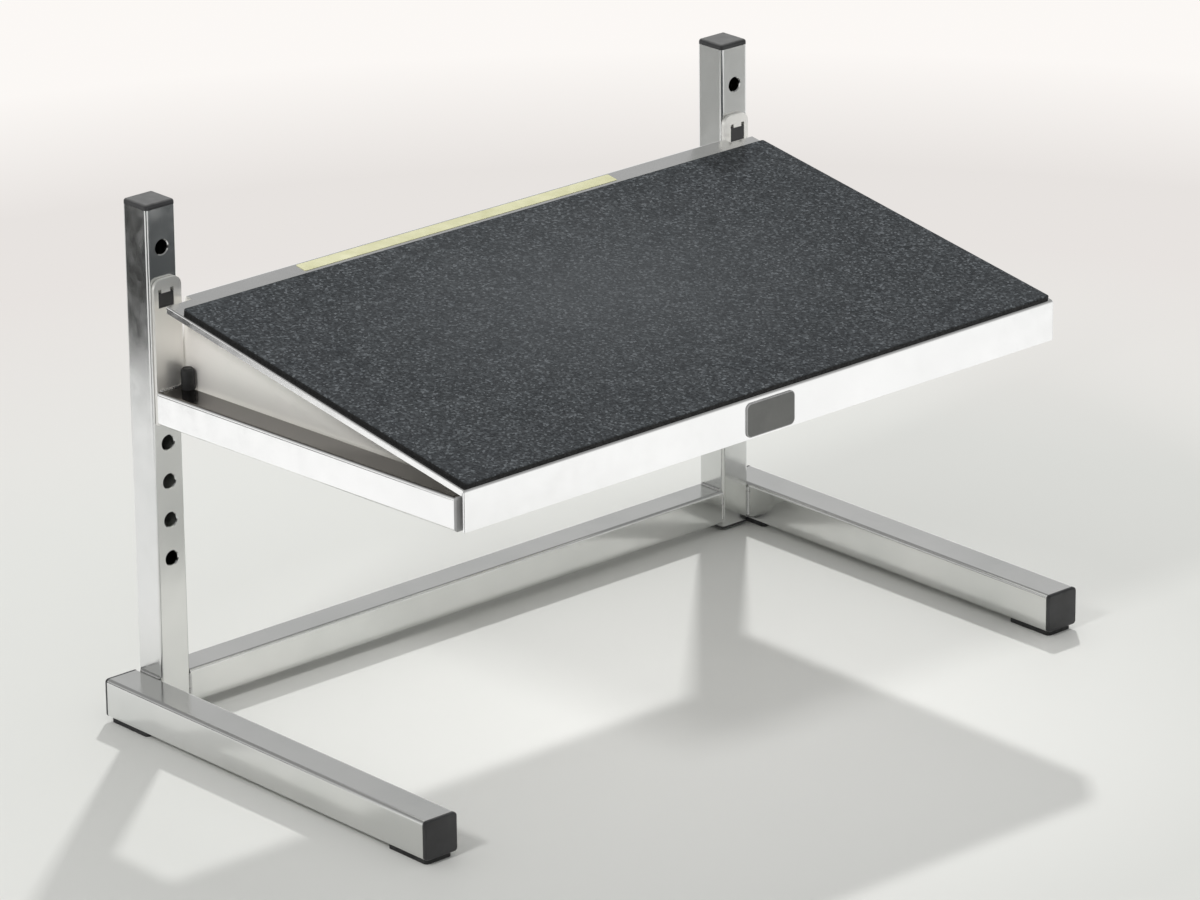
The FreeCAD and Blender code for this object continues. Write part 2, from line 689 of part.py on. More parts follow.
def build_tread_plate():
    """Folded sheet: front flange, top and narrow side hems; its middle reaches back between the
    posts and ends in the rear fold."""
    sheet = size("sheet")
    lean_sine, lean_cosine = sine(size("flange_tilt")), cosine(size("flange_tilt"))
    front, back, top = -size("tread_nose"), tread_back, sheet_rise
    under, fold_back = top - sheet, tongue_back - sheet
    drop, fold_tip = size("flange_drop"), top - size("rear_drop")
    fold = sheet * (1 - lean_sine) / lean_cosine
    outer_tip = (front - drop * lean_sine, top - drop * lean_cosine)
    inner_tip = (outer_tip[0] + sheet * lean_cosine, outer_tip[1] - sheet * lean_sine)
    inner_fold = (front + sheet * lean_cosine - fold * lean_sine, top - sheet)
    body = new_body("tread_plate")
    profile = new_sketch(body, "YZ_Plane")
    polygon(profile, [(front, top), outer_tip, inner_tip, inner_fold, (back, under), (back, top)])
    pad(body, profile, size("tread_width"), both_ways=True)
    middle = new_sketch(body, "YZ_Plane")
    polygon(middle, [(0, top), (0, under), (fold_back, under), (fold_back, fold_tip),
                     (tongue_back, fold_tip), (tongue_back, top)])
    pad(body, middle, cheek_outer * 2, both_ways=True)

    def is_fold(edge):
        box = edge.BoundBox
        runs_across = box.YLength < 1e-6 and box.ZLength < 1e-6
        at_end = min(abs(box.YMax - front.value), abs(box.YMax - tongue_back.value)) < 1e-4
        return runs_across and at_end and abs(box.ZMax - top.value) < 1e-4

    fillet(body, size("bend_radius"), is_fold)
    hems = new_sketch(body, "XY_Plane", top - sheet)
    half = size("tread_width") / 2
    hem_front, hem_back = front + sheet, back - sheet / 2
    for sign in (-1, 1):
        rectangle(hems, sheet, hem_back - hem_front, (half - sheet / 2) * sign,
                  (hem_front + hem_back) / 2)
    pad(body, hems, size("hem_drop") - sheet, backwards=True)

    def is_side_edge(edge):
        box = edge.BoundBox
        runs_back = box.XLength < 1e-6 and box.YLength > half.value / 2
        return runs_back and abs(box.ZMax - top.value) < 1e-4

    fillet(body, sheet / 2, is_side_edge)
    on_tread(keep(body))


def build_cheeks():
    """Triangular plates under the tread: each has an ear for the stud and steps over the tie tube."""
    ear = size("ear_radius")
    step_end = size("rail_setback") + size("rail_tube") + size("cheek_clear")
    back = tongue_back - size("sheet") - size("cheek_rear_gap")
    for name, sign in SIDES:
        body = new_body("cheek_" + name)
        outline = new_sketch(body, "YZ_Plane")
        polygon(outline, [(-ear, sheet_under), (-ear, -ear), (ear, -ear), (ear, size("cheek_step")),
                          (step_end, size("cheek_step")), (step_end + 6, -size("cheek_front_drop")),
                          (back, -size("cheek_rear_drop")), (back, sheet_under)])
        pad(body, outline, size("plate_thickness"), both_ways=True)

        def is_ear_corner(edge):
            box = edge.BoundBox
            runs_across = box.YLength < 1e-6 and box.ZLength < 1e-6
            return runs_across and abs(box.ZMax + ear.value) < 1e-4

        fillet(body, ear - 1, is_ear_corner)
        eye = new_sketch(body, "YZ_Plane")
        circle(eye, size("stud_diameter") + size("stud_fit") * 2)
        pocket(body, eye, size("plate_thickness") * 2, both_ways=True)
        on_tread(keep(body), (cheek_outer - size("plate_thickness") / 2) * sign)


def build_mat():
    body = new_body("tread_mat")
    front, back = size("mat_front") - size("tread_nose"), tread_back - size("mat_rear")
    length, width = back - front, size("tread_width") - size("mat_side") * 2
    outline = new_sketch(body, "XY_Plane")
    rounded_rectangle(outline, width, length, size("mat_corner"))
    pad(body, outline, size("mat_thickness"))
    fillet(body, 0.8, lies_at("z", size("mat_thickness")))
    middle = (front + back) / 2
    put(keep(body), 0, hinge_back + middle * cosine(tilt) - sheet_rise * sine(tilt),
        hinge_height + middle * sine(tilt) + sheet_rise * cosine(tilt), TREAD_TURN)


def build_strip():
    """The coloured strip on the bare margin behind the mat."""
    body = new_body("label_strip")
    outline = new_sketch(body, "XY_Plane")
    rounded_rectangle(outline, size("strip_length"), size("strip_width"), 1)
    pad(body, outline, size("strip_thickness"))
    middle = tongue_back - size("strip_inset") - size("strip_width") / 2
    put(keep(body), size("strip_shift"),
        hinge_back + middle * cosine(tilt) - sheet_rise * sine(tilt),
        hinge_height + middle * sine(tilt) + sheet_rise * cosine(tilt), TREAD_TURN)


def build_badge():
    """The bare plate in the middle of the front flange, which stands upright at this setting."""
    body = new_body("badge_plate")
    outline = new_sketch(body, "XZ_Plane")
    rounded_rectangle(outline, size("badge_width"), size("badge_height"), size("badge_corner"))
    pad(body, outline, size("badge_thickness"))
    fillet(body, 0.5, lies_at("y", -size("badge_thickness")))
    top = hinge_height - size("tread_nose") * sine(tilt) + sheet_rise * cosine(tilt)
    lean = about(1, 0, 0, tilt.value - size("flange_tilt").value)
    put(keep(body), 0, front_plane - flange_face, top - size("flange_drop") / 2 - 1, lean)


def check_and_write():
    """Stops on any failed object, then writes one file for each piece."""
    document.recompute()
    for thing in document.Objects:
        if "Invalid" in thing.State or "Error" in thing.State:
            raise RuntimeError(f"{thing.Label} failed: {thing.State}")
    os.makedirs(PARTS_FOLDER, exist_ok=True)
    whole = FreeCAD.BoundBox()
    for piece in pieces:
        shape = piece.Shape
        if shape.isNull() or not shape.isValid() or len(shape.Solids) != 1:
            raise RuntimeError(f"{piece.Label}: not one valid solid")
        whole.add(shape.optimalBoundingBox())
        shape.exportStep(os.path.join(PARTS_FOLDER, piece.Label + ".step"))
    print(len(pieces), "pieces,", "box", whole)


build_feet()
build_posts()
build_tie()
build_arms()
build_rail()
build_hook_plates()
build_buffers()
build_clamps()
build_tread_plate()
build_cheeks()
build_mat()
build_strip()
build_badge()
check_and_write()
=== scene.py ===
import json
import math

import bpy
import numpy as np
from mathutils import Matrix, Vector


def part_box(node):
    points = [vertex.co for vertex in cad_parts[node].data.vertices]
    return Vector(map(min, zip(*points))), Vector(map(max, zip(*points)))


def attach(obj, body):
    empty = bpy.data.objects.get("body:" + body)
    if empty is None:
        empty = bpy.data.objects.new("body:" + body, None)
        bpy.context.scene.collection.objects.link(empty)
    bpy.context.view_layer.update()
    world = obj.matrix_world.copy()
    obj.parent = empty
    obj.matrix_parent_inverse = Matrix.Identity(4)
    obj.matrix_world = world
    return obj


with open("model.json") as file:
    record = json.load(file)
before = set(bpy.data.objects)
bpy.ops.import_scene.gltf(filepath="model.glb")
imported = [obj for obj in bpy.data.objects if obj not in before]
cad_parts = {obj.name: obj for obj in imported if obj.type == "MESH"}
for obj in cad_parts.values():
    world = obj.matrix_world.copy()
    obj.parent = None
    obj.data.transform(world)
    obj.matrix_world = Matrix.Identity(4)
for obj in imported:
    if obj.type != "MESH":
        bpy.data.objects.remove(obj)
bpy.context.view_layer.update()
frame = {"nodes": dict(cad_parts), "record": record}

# Looks of a chromed footrest: finishes, weld seams, badge rim, floor, light and camera.
# Metres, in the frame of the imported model: X right, Y rear, Z up, origin on the floor.

SCENE = bpy.context.scene
SCENE.view_settings.view_transform = "Standard"

WHITE = (1.0, 1.0, 1.0)
SIDES = (("left", -1.0), ("right", 1.0))

# The tread tilts about the hinge and slopes by TILT at rest. The next two are heights above the
# hinge, square to the sloping tread: the sheet's lower face and the mat's upper face.
HINGE = next(joint["pos_m"] for joint in frame["record"]["behaviour"]["joints"] if joint["name"] == "tilt")
TILT = math.radians(9.0)
SHEET_UNDER = 0.020
MAT_TOP = 0.026

# The arms rise by this slope towards their front ends.
ARM_SLOPE = math.tan(math.radians(1.7))
ARM_HALF_HEIGHT = 0.01275

POST_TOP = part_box("upright_plug_left")[1].z
# Depth of the band at the plugs' top that gets the painted sheen.
CROWN = 0.0012


# Finishes

class Tree:
    """Adds nodes to the node tree of a material or of the world, and joins them."""

    def __init__(self, owner):
        owner.use_nodes = True
        self.nodes = owner.node_tree.nodes
        self.links = owner.node_tree.links

    def spread(self, source, low, high, start=0.35, end=0.65):
        """A value that runs from low to high while the source runs from start to end."""
        node = self.nodes.new("ShaderNodeMapRange")
        for name, value in (("From Min", start), ("From Max", end), ("To Min", low), ("To Max", high)):
            node.inputs[name].default_value = value
        self.links.new(source, node.inputs["Value"])
        return node.outputs["Result"]

    def combined(self, operation, first, second):
        """Two numbers, joined by an arithmetic operation."""
        node = self.nodes.new("ShaderNodeMath")
        node.operation = operation
        self.links.new(first, node.inputs[0])
        self.links.new(second, node.inputs[1])
        return node.outputs["Value"]

    def mixed(self, factor, under, over, kind="RGBA", blend="MIX"):
        """Two colours or two numbers, the second laid over the first by a factor.

        Each of the three is a socket or a constant.
        """
        node = self.nodes.new("ShaderNodeMix")
        node.data_type = kind
        node.blend_type = blend
        for name, value in (("Factor", factor), ("A", under), ("B", over)):
            if isinstance(value, tuple):
                node.inputs[name].default_value = (*value, 1.0)
            elif isinstance(value, float):
                node.inputs[name].default_value = value
            else:
                self.links.new(value, node.inputs[name])
        return node.outputs["Result"]

    def layered(self, factor, under, over):
        """Two shaders, the second laid over the first by a factor."""
        node = self.nodes.new("ShaderNodeMixShader")
        self.links.new(factor, node.inputs["Fac"])
        self.links.new(under, node.inputs[1])
        self.links.new(over, node.inputs[2])
        return node.outputs["Shader"]

    def background(self, colour, strength):
        """Light from all round, in a constant colour; its strength is a socket or a number."""
        node = self.nodes.new("ShaderNodeBackground")
        node.inputs["Color"].default_value = (*colour, 1.0)
        if isinstance(strength, float):
            node.inputs["Strength"].default_value = strength
        else:
            self.links.new(strength, node.inputs["Strength"])
        return node.outputs["Background"]


class Finish(Tree):
    """A material under construction: adds nodes, joins them, and ends in one principled shader."""

    def __init__(self, name):
        self.material = bpy.data.materials.new(name)
        super().__init__(self.material)
        self.shader = self.nodes["Principled BSDF"]
        self.place = self.nodes.new("ShaderNodeTexCoord").outputs["Object"]

    def set(self, **sockets):
        """Constants on the shader's own sockets; an underscore stands for a space in a name."""
        for name, value in sockets.items():
            self.shader.inputs[name.replace("_", " ")].default_value = value

    def join(self, source, socket):
        self.links.new(source, self.shader.inputs[socket])

    def stretched(self, x, y, z, shift=(0.0, 0.0, 0.0)):
        """The object's coordinates, scaled along each axis and then shifted."""
        node = self.nodes.new("ShaderNodeMapping")
        node.inputs["Scale"].default_value = (x, y, z)
        node.inputs["Location"].default_value = shift
        self.links.new(self.place, node.inputs["Vector"])
        return node.outputs["Vector"]

    def length_of(self, vector):
        """How long a vector is."""
        node = self.nodes.new("ShaderNodeVectorMath")
        node.operation = "LENGTH"
        self.links.new(vector, node.inputs[0])
        return node.outputs["Value"]

    def along(self, direction):
        """How far the surface lies along a direction, from the origin."""
        node = self.nodes.new("ShaderNodeVectorMath")
        node.operation = "DOT_PRODUCT"
        node.inputs[1].default_value = direction
        self.links.new(self.place, node.inputs[0])
        return node.outputs["Value"]

    def noise(self, scale, detail=3.0, rough=0.5, place=None):
        node = self.nodes.new("ShaderNodeTexNoise")
        node.inputs["Scale"].default_value = scale
        node.inputs["Detail"].default_value = detail
        node.inputs["Roughness"].default_value = rough
        self.links.new(place or self.place, node.inputs["Vector"])
        return node.outputs["Fac"]

    def cells(self, scale):
        """Small cells: each one's own random colour, and the distance from its middle."""
        node = self.nodes.new("ShaderNodeTexVoronoi")
        node.inputs["Scale"].default_value = scale
        self.links.new(self.place, node.inputs["Vector"])
        return node.outputs["Color"], node.outputs["Distance"]

    def tint(self, source, *stops):
        """A colour ramp; each stop is (position, red, green, blue)."""
        node = self.nodes.new("ShaderNodeValToRGB")
        elements = node.color_ramp.elements
        while len(elements) < len(stops):
            elements.new(0.5)
        for element, (position, *colour) in zip(elements, stops):
            element.position = position
            element.color = (*colour, 1.0)
        self.links.new(source, node.inputs["Fac"])
        return node.outputs["Color"]

    def clouded(self, source, dark, light, light_at=0.7):
        """A tone that goes from dark to light with a noise, which reaches it at light_at."""
        return self.tint(source, (0.3, *dark), (light_at, *light))

    def relief(self, source, strength, depth, over=None):
        """Bump; `over` is the relief that this one lies on."""
        node = self.nodes.new("ShaderNodeBump")
        node.inputs["Strength"].default_value = strength
        node.inputs["Distance"].default_value = depth
        self.links.new(source, node.inputs["Height"])
        if over is not None:
            self.links.new(over, node.inputs["Normal"])
        self.join(node.outputs["Normal"], "Normal")
        return node.outputs["Normal"]


def painted_shade_on_arm_tops(finish):
    """1 on the arms' upper faces, where their painted shade lies, 0 elsewhere.

    The height above the arm's axis is z - hinge height + slope times the way behind the hinge. The
    value rises from 0.8 mm to 0.3 mm below half the tube's height.
    """
    axis_height = HINGE[2] + HINGE[1] * ARM_SLOPE
    start = axis_height + ARM_HALF_HEIGHT - 0.0008
    end = axis_height + ARM_HALF_HEIGHT - 0.0003
    return finish.spread(finish.along((0.0, ARM_SLOPE, 1.0)), 0.0, 1.0, start, end)


def chrome(name, dark, light, smooth, dull, sway, metal=1.0, arm_top=None):
    """Chrome plate: cloudy polish, faint drawn waviness of the steel below, a breath of haze.

    On the arms, `arm_top` is the painted shade on their upper faces: a dark brownish tone for the shade
    under the tread.
    """
    finish = Finish(name)
    finish.set(Metallic=metal)
    polish = finish.clouded(finish.noise(11.0, 4.0), dark, light)
    if arm_top is not None:
        # Painted shade on the arms' upper faces.
        polish = finish.mixed(painted_shade_on_arm_tops(finish), polish, arm_top)
    finish.join(polish, "Base Color")
    finish.join(finish.spread(finish.noise(70.0, 5.0, 0.6), smooth, dull), "Roughness")
    wave = finish.relief(finish.noise(18.0, 1.0), sway, 0.0012)
    finish.relief(finish.noise(1600.0, 2.0), 0.03, 0.0001, wave)
    return finish.material


def moulded(name, dark, light, rough_low, rough_high, grain, crown=None):
    """Moulded black plastic or rubber with a fine pebble grain and slightly greyed high spots.

    On the posts' plugs, `crown` holds the two greys of a painted sheen that makes their crowned top paler.
    """
    finish = Finish(name)
    tone = finish.clouded(finish.noise(55.0, 4.0), dark, light, 0.75)
    if crown is not None:
        # Painted sheen: a paler grey on the plug's crowned top.
        painted_top_sheen = finish.clouded(finish.noise(120.0, 5.0, 0.65), *crown)
        on_top = finish.spread(finish.along((0.0, 0.0, 1.0)), 0.0, 1.0, POST_TOP - CROWN, POST_TOP)
        tone = finish.mixed(on_top, tone, painted_top_sheen)
    finish.join(tone, "Base Color")
    finish.join(finish.spread(finish.noise(240.0, 3.0), rough_low, rough_high), "Roughness")
    finish.relief(finish.noise(1900.0, 2.0), grain, 0.0002)
    return finish.material


def zinc(name):
    """Zinc-plated steel: bluish grey with a fine turned grain."""
    finish = Finish(name)
    finish.set(Metallic=1.0)
    grain = finish.noise(900.0, 3.0, 0.6, finish.stretched(0.2, 1.0, 1.0))
    finish.join(finish.clouded(grain, (0.42, 0.43, 0.46), (0.6, 0.6, 0.62)), "Base Color")
    finish.join(finish.spread(grain, 0.28, 0.42), "Roughness")
    finish.relief(grain, 0.1, 0.0001)
    return finish.material


def speckled_mat(name):
    """Anti-slip mat: near-black rubber with dense grey granules, with a painted sheen that makes it paler
    towards its middle.

    The height square to the mat is z times the cosine less y times the sine of the tread's slope.
    The cut edge, below the upper face, is near black: darker cut rubber with painted shade on it.
    """
    finish = Finish(name)
    finish.set(Specular_IOR_Level=0.25)
    colour, distance = finish.cells(620.0)
    granule = finish.nodes.new("ShaderNodeSeparateColor")
    finish.links.new(colour, granule.inputs["Color"])
    granules = finish.tint(granule.outputs["Red"], (0.0, 0.030, 0.033, 0.036), (0.55, 0.050, 0.055, 0.059),
                           (0.86, 0.080, 0.088, 0.094), (1.0, 0.15, 0.162, 0.172))
    cloud = finish.clouded(finish.noise(38.0, 4.0), (0.8, 0.81, 0.82), WHITE)
    ground = finish.mixed(1.0, granules, cloud, blend="MULTIPLY")
    # Painted sheen: the upper face turns paler towards the mat's middle.
    from_middle = finish.length_of(finish.stretched(0.7, 1.0, 0.0))
    painted_middle_sheen = finish.spread(from_middle, 0.32, 0.0, 0.02, 0.16)
    upper_face = finish.mixed(painted_middle_sheen, ground, (0.115, 0.123, 0.13))
    top_height = HINGE[2] * math.cos(TILT) - HINGE[1] * math.sin(TILT) + MAT_TOP
    height = finish.along((0.0, -math.sin(TILT), math.cos(TILT)))
    above_cut = finish.spread(height, 0.0, 1.0, top_height - 0.0010, top_height - 0.0004)
    # Near black below the upper face: darker cut rubber with painted shade.
    finish.join(finish.mixed(above_cut, (0.013, 0.013, 0.013), upper_face), "Base Color")
    finish.join(finish.spread(granule.outputs["Green"], 0.55, 0.85, 0.0, 1.0), "Roughness")
    grit = finish.relief(distance, 0.35, 0.0006)
    finish.relief(finish.noise(260.0, 3.0), 0.2, 0.0006, grit)
    return finish.material


def film(name, dark, light, rough):
    """A printed film without print: one tone with light rubbing."""
    finish = Finish(name)
    rub = finish.noise(46.0, 5.0, 0.65)
    finish.join(finish.clouded(rub, dark, light), "Base Color")
    finish.join(finish.spread(rub, rough, rough + 0.18), "Roughness")
    finish.relief(finish.noise(700.0, 2.0), 0.05, 0.0001)
    return finish.material


BLACK_PLASTIC = ((0.016, 0.016, 0.017), (0.036, 0.036, 0.038), 0.34, 0.46, 0.14)
# Painted light: frame, carrier and tread share one chrome plating; the carrier and tread get this paler
# base so that their faces show near white, the frame a darker one.
PAINTED_PALE_CHROME = ((0.92, 0.92, 0.91), (0.97, 0.97, 0.96))

FRAME_CHROME = chrome("frame_chrome", (0.66, 0.67, 0.655), (0.76, 0.76, 0.745), 0.13, 0.22, 0.10)
CARRIER_CHROME = chrome("carrier_chrome", *PAINTED_PALE_CHROME, 0.09, 0.18, 0.10)
TREAD_CHROME = chrome("tread_chrome", *PAINTED_PALE_CHROME, 0.14, 0.24, 0.12)
CHEEK_SATIN = chrome("cheek_satin", (0.93, 0.93, 0.87), (1.0, 0.965, 0.92), 0.40, 0.46, 0.05, 0.3)
HOOK_SATIN = chrome("hook_satin", (0.88, 0.88, 0.84), (0.97, 0.95, 0.91), 0.28, 0.34, 0.05, 0.7)
# The arms' upper faces get a painted shade of dark brownish chrome, for the shade under the tread.
ARM_CHROME = chrome("arm_chrome", *PAINTED_PALE_CHROME, 0.09, 0.18, 0.10, arm_top=(0.19, 0.178, 0.17))
WELD_METAL = chrome("weld_metal", (0.46, 0.46, 0.45), (0.68, 0.68, 0.67), 0.14, 0.34, 0.2)
CAP_PLASTIC = moulded("cap_plastic", *BLACK_PLASTIC)
# The plugs' crowned tops get a painted sheen, paler than their sides.
PLUG_PLASTIC = moulded("plug_plastic", *BLACK_PLASTIC, crown=((0.09, 0.09, 0.09), (0.16, 0.16, 0.157)))
ARM_CAP_PLASTIC = moulded("arm_cap_plastic", (0.30, 0.30, 0.30), (0.42, 0.42, 0.42), 0.4, 0.5, 0.1)
PAD_RUBBER = moulded("pad_rubber", (0.012, 0.012, 0.012), (0.03, 0.03, 0.03), 0.6, 0.8, 0.25)
BUFFER_RUBBER = moulded("buffer_rubber", (0.01, 0.01, 0.01), (0.026, 0.026, 0.026), 0.5, 0.7, 0.2)
KNOB_PLASTIC = moulded("knob_plastic", (0.014, 0.014, 0.015), (0.034, 0.034, 0.036), 0.4, 0.55, 0.2)
DISC_PLASTIC = moulded("disc_plastic", (0.03, 0.028, 0.026), (0.07, 0.066, 0.06), 0.5, 0.65, 0.15)
STUD_ZINC = zinc("stud_zinc")
WASHER_ZINC = zinc("washer_zinc")
MAT_RUBBER = speckled_mat("speckled_mat")
BADGE_GREY = film("badge_grey", (0.125, 0.127, 0.12), (0.175, 0.177, 0.168), 0.35)
BADGE_RIM = film("badge_rim", (0.34, 0.34, 0.34), (0.46, 0.46, 0.46), 0.3)
STRIP_YELLOW = film("strip_yellow", (0.62, 0.61, 0.36), (0.78, 0.77, 0.52), 0.3)

FINISH_OF_SLOT = {
    "frame_chrome": FRAME_CHROME,
    "carrier_chrome": CARRIER_CHROME,
    "tread_chrome": TREAD_CHROME,
    "cap_plastic": CAP_PLASTIC,
    "arm_cap_plastic": ARM_CAP_PLASTIC,
    "pad_rubber": PAD_RUBBER,
    "buffer_rubber": BUFFER_RUBBER,
    "mat": MAT_RUBBER,
    "stud_steel": STUD_ZINC,
    "washer_steel": WASHER_ZINC,
    "friction_plastic": DISC_PLASTIC,
    "knob_plastic": KNOB_PLASTIC,
    "badge_plastic": BADGE_GREY,
    "strip_film": STRIP_YELLOW,
}

# These nodes have a finish of their own; their slot's other nodes keep the slot's finish.
FINISH_OF_NODE = {
    "cheek_left": CHEEK_SATIN,
    "cheek_right": CHEEK_SATIN,
    "hook_plate_left": HOOK_SATIN,
    "hook_plate_right": HOOK_SATIN,
    "arm_left": ARM_CHROME,
    "arm_right": ARM_CHROME,
    "upright_plug_left": PLUG_PLASTIC,
    "upright_plug_right": PLUG_PLASTIC,
}

for part in frame["record"]["subparts"]:
    for holder in frame["nodes"][part["node"]].material_slots:
        holder.material = FINISH_OF_NODE.get(part["node"], FINISH_OF_SLOT[part["material_slot"]])


# Surfaces

def ring_faces(rows, columns, closed=False):
    """Four-cornered faces between each ring of points and the next one, as point numbers.

    Each row is a ring of as many points as there are columns. Where closed is true, the last ring
    joins the first one.
    """
    row, column = np.meshgrid(np.arange(rows if closed else rows - 1), np.arange(columns), indexing="ij")
    next_row, next_column = (row + 1) % rows, (column + 1) % columns
    faces = np.stack([row * columns + column, row * columns + next_column,
                      next_row * columns + next_column, next_row * columns + column], axis=-1)
    return faces.reshape(-1, 4).tolist()


def smooth_piece(name, vertices, faces, finish):
    """A new object with one smooth mesh in one finish."""
    mesh = bpy.data.meshes.new(name)
    mesh.from_pydata(vertices.tolist(), [], faces)
    mesh.update()
    mesh.polygons.foreach_set("use_smooth", np.ones(len(mesh.polygons), bool))
    mesh.materials.append(finish)
    piece = bpy.data.objects.new(name, mesh)
    SCENE.collection.objects.link(piece)
    return piece


def surface(name, points, finish, body):
    """A closed skin from a grid of points: rows run along the piece, columns go round it.

    Each row is a ring. The first and the last ring are closed with a fan about their middle.
    """
    rows, columns, _ = points.shape
    ends = np.stack([points[0].mean(axis=0), points[-1].mean(axis=0)])
    vertices = np.concatenate([points.reshape(-1, 3), ends])
    around = np.arange(columns)
    beyond = (around + 1) % columns
    last = (rows - 1) * columns
    start_fan = np.stack([np.full(columns, rows * columns), beyond, around], axis=-1)
    end_fan = np.stack([np.full(columns, rows * columns + 1), last + around, last + beyond], axis=-1)
    faces = ring_faces(rows, columns) + start_fan.tolist() + end_fan.tolist()
    piece = smooth_piece(name, vertices, faces, finish)
    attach(piece, body)


SEAM_RADIUS = 0.0016
SEAM_STEP = 0.0003
SEAM_ROUND = 16
RIPPLE_LENGTH = 0.0015
RIPPLE_SHARE = 0.07


def weld_bead(name, start, end, body):
    """A weld seam in a corner: a tube about the straight line from start to end.

    Point (u, v) = start + u (end - start) + r(u) (cos v a + sin v b), with a and b square to the
    line. r(u) is the radius, times one plus a small sine with a crest each 1.5 mm (the ripples of
    the melt), times the square root of a half circle's height near both ends (rounded ends).
    """
    start, end = np.array(start, float), np.array(end, float)
    along = end - start
    length = float(np.linalg.norm(along))
    along /= length
    helper = np.array([0.0, 0.0, 1.0]) if abs(along[2]) < 0.9 else np.array([1.0, 0.0, 0.0])
    a = np.cross(along, helper)
    a /= np.linalg.norm(a)
    b = np.cross(along, a)
    rows = max(24, int(length / SEAM_STEP))
    u = np.linspace(0.0, 1.0, rows)
    v = np.linspace(0.0, 2.0 * math.pi, SEAM_ROUND, endpoint=False)
    reach = np.minimum(u, 1.0 - u) * length / SEAM_RADIUS
    ends = np.sqrt(np.clip(reach * (2.0 - reach), 0.02, 1.0)) * (reach < 1.0) + (reach >= 1.0)
    ripple = 1.0 + RIPPLE_SHARE * np.sin(2.0 * math.pi * u * length / RIPPLE_LENGTH)
    thickness = SEAM_RADIUS * ends * ripple
    ring = np.cos(v)[:, None] * a + np.sin(v)[:, None] * b
    points = start + (u * length)[:, None, None] * along + thickness[:, None, None] * ring[None]
    surface(name, points, WELD_METAL, body)


RIM_RADIUS = 0.0006
RIM_STEPS = 96
RIM_ROUND = 12
BADGE_CORNER = 0.004


def rounded_loop(width, height, corner, count):
    """Points of a rounded rectangle and their outward directions, spread evenly by the turn.

    The middle of the nearest corner arc plus the corner radius times (cos t, sin t), with t
    running once round; the straight sides are the spans between one arc's end and the next one.
    """
    t = np.linspace(0.0, 2.0 * math.pi, count, endpoint=False) + math.pi / count
    out = np.stack([np.cos(t), np.sin(t)], axis=-1)
    middle = np.sign(out) * np.array([width / 2 - corner, height / 2 - corner])
    return middle + corner * out, out


def badge_rim(name):
    """A thin rounded rim round the bare badge: a small circle carried along its outline.

    Point (t, v) = outline point + r cos v outwards, and r + r sin v behind the badge's face.
    """
    low, high = (np.array(corner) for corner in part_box("badge_plate"))
    width, height = high[0] - low[0], high[2] - low[2]
    line, out = rounded_loop(width, height, BADGE_CORNER, RIM_STEPS)
    v = np.linspace(0.0, 2.0 * math.pi, RIM_ROUND, endpoint=False)
    middle = (low + high) / 2
    across = line[:, None, :] + RIM_RADIUS * np.cos(v)[None, :, None] * out[:, None, :]
    back = np.broadcast_to(low[1] + RIM_RADIUS + RIM_RADIUS * np.sin(v), across.shape[:2])
    points = np.stack([middle[0] + across[..., 0], back, middle[2] + across[..., 1]], axis=-1)
    faces = ring_faces(RIM_STEPS, RIM_ROUND, closed=True)
    piece = smooth_piece(name, points.reshape(-1, 3), faces, BADGE_RIM)
    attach(piece, "tread")


# Weld seams

# A seam ends this far before the edges of the tubes that it joins.
ENDS_IN = 0.0025
# The seam on the tie tube's front lies this far behind the posts' front faces, in the groove of
# their rounded corners.
TIE_GROOVE = 0.0012
# Middles and half length of the short seams between sheet and cheeks, behind the hinge.
CHEEK_SEAMS = (0.022, 0.112, 0.202, 0.286)
CHEEK_SEAM_HALF = 0.011


def on_tread(x, back, up):
    """A point given in the tread's own frame, carried to the tilted tread."""
    return (x, HINGE[1] + back * math.cos(TILT) - up * math.sin(TILT),
            HINGE[2] + back * math.sin(TILT) + up * math.cos(TILT))


tie_low, tie_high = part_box("cross_tube")
rail_low, rail_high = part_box("front_rail")

for side, sign in SIDES:
    post_low, post_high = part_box("upright_" + side)
    foot_low, foot_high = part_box("foot_tube_" + side)
    arm_low, arm_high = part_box("arm_" + side)
    outer = post_low.x if sign < 0 else post_high.x
    inner = post_high.x if sign < 0 else post_low.x
    wall = arm_high.x if sign < 0 else arm_low.x
    front, rear = post_low.y + ENDS_IN, post_high.y - ENDS_IN
    groove = post_low.y + TIE_GROOVE
    arm_top = arm_low.z + 2 * ARM_HALF_HEIGHT
    for seam, start, end in (
        ("post_foot_top", (outer, front, foot_high.z), (outer, rear, foot_high.z)),
        ("post_foot_front", (outer, post_low.y, foot_low.z + ENDS_IN),
         (outer, post_low.y, foot_high.z - ENDS_IN)),
        ("post_tie_top", (inner, front, tie_high.z), (inner, rear, tie_high.z)),
        ("post_tie_front", (inner, groove, tie_low.z + ENDS_IN), (inner, groove, tie_high.z - ENDS_IN)),
    ):
        weld_bead(f"weld_{seam}_{side}", start, end, "base")
    for seam, start, end in (
        ("arm_plate", (arm_low.x + ENDS_IN, arm_high.y, arm_top),
         (arm_high.x - ENDS_IN, arm_high.y, arm_top)),
        ("rail_arm_top", (wall, rail_low.y + ENDS_IN, rail_high.z),
         (wall, rail_high.y - ENDS_IN, rail_high.z)),
        ("rail_arm_rear", (wall, rail_high.y, rail_low.z + ENDS_IN),
         (wall, rail_high.y, rail_high.z - ENDS_IN)),
    ):
        weld_bead(f"weld_{seam}_{side}", start, end, "carrier")

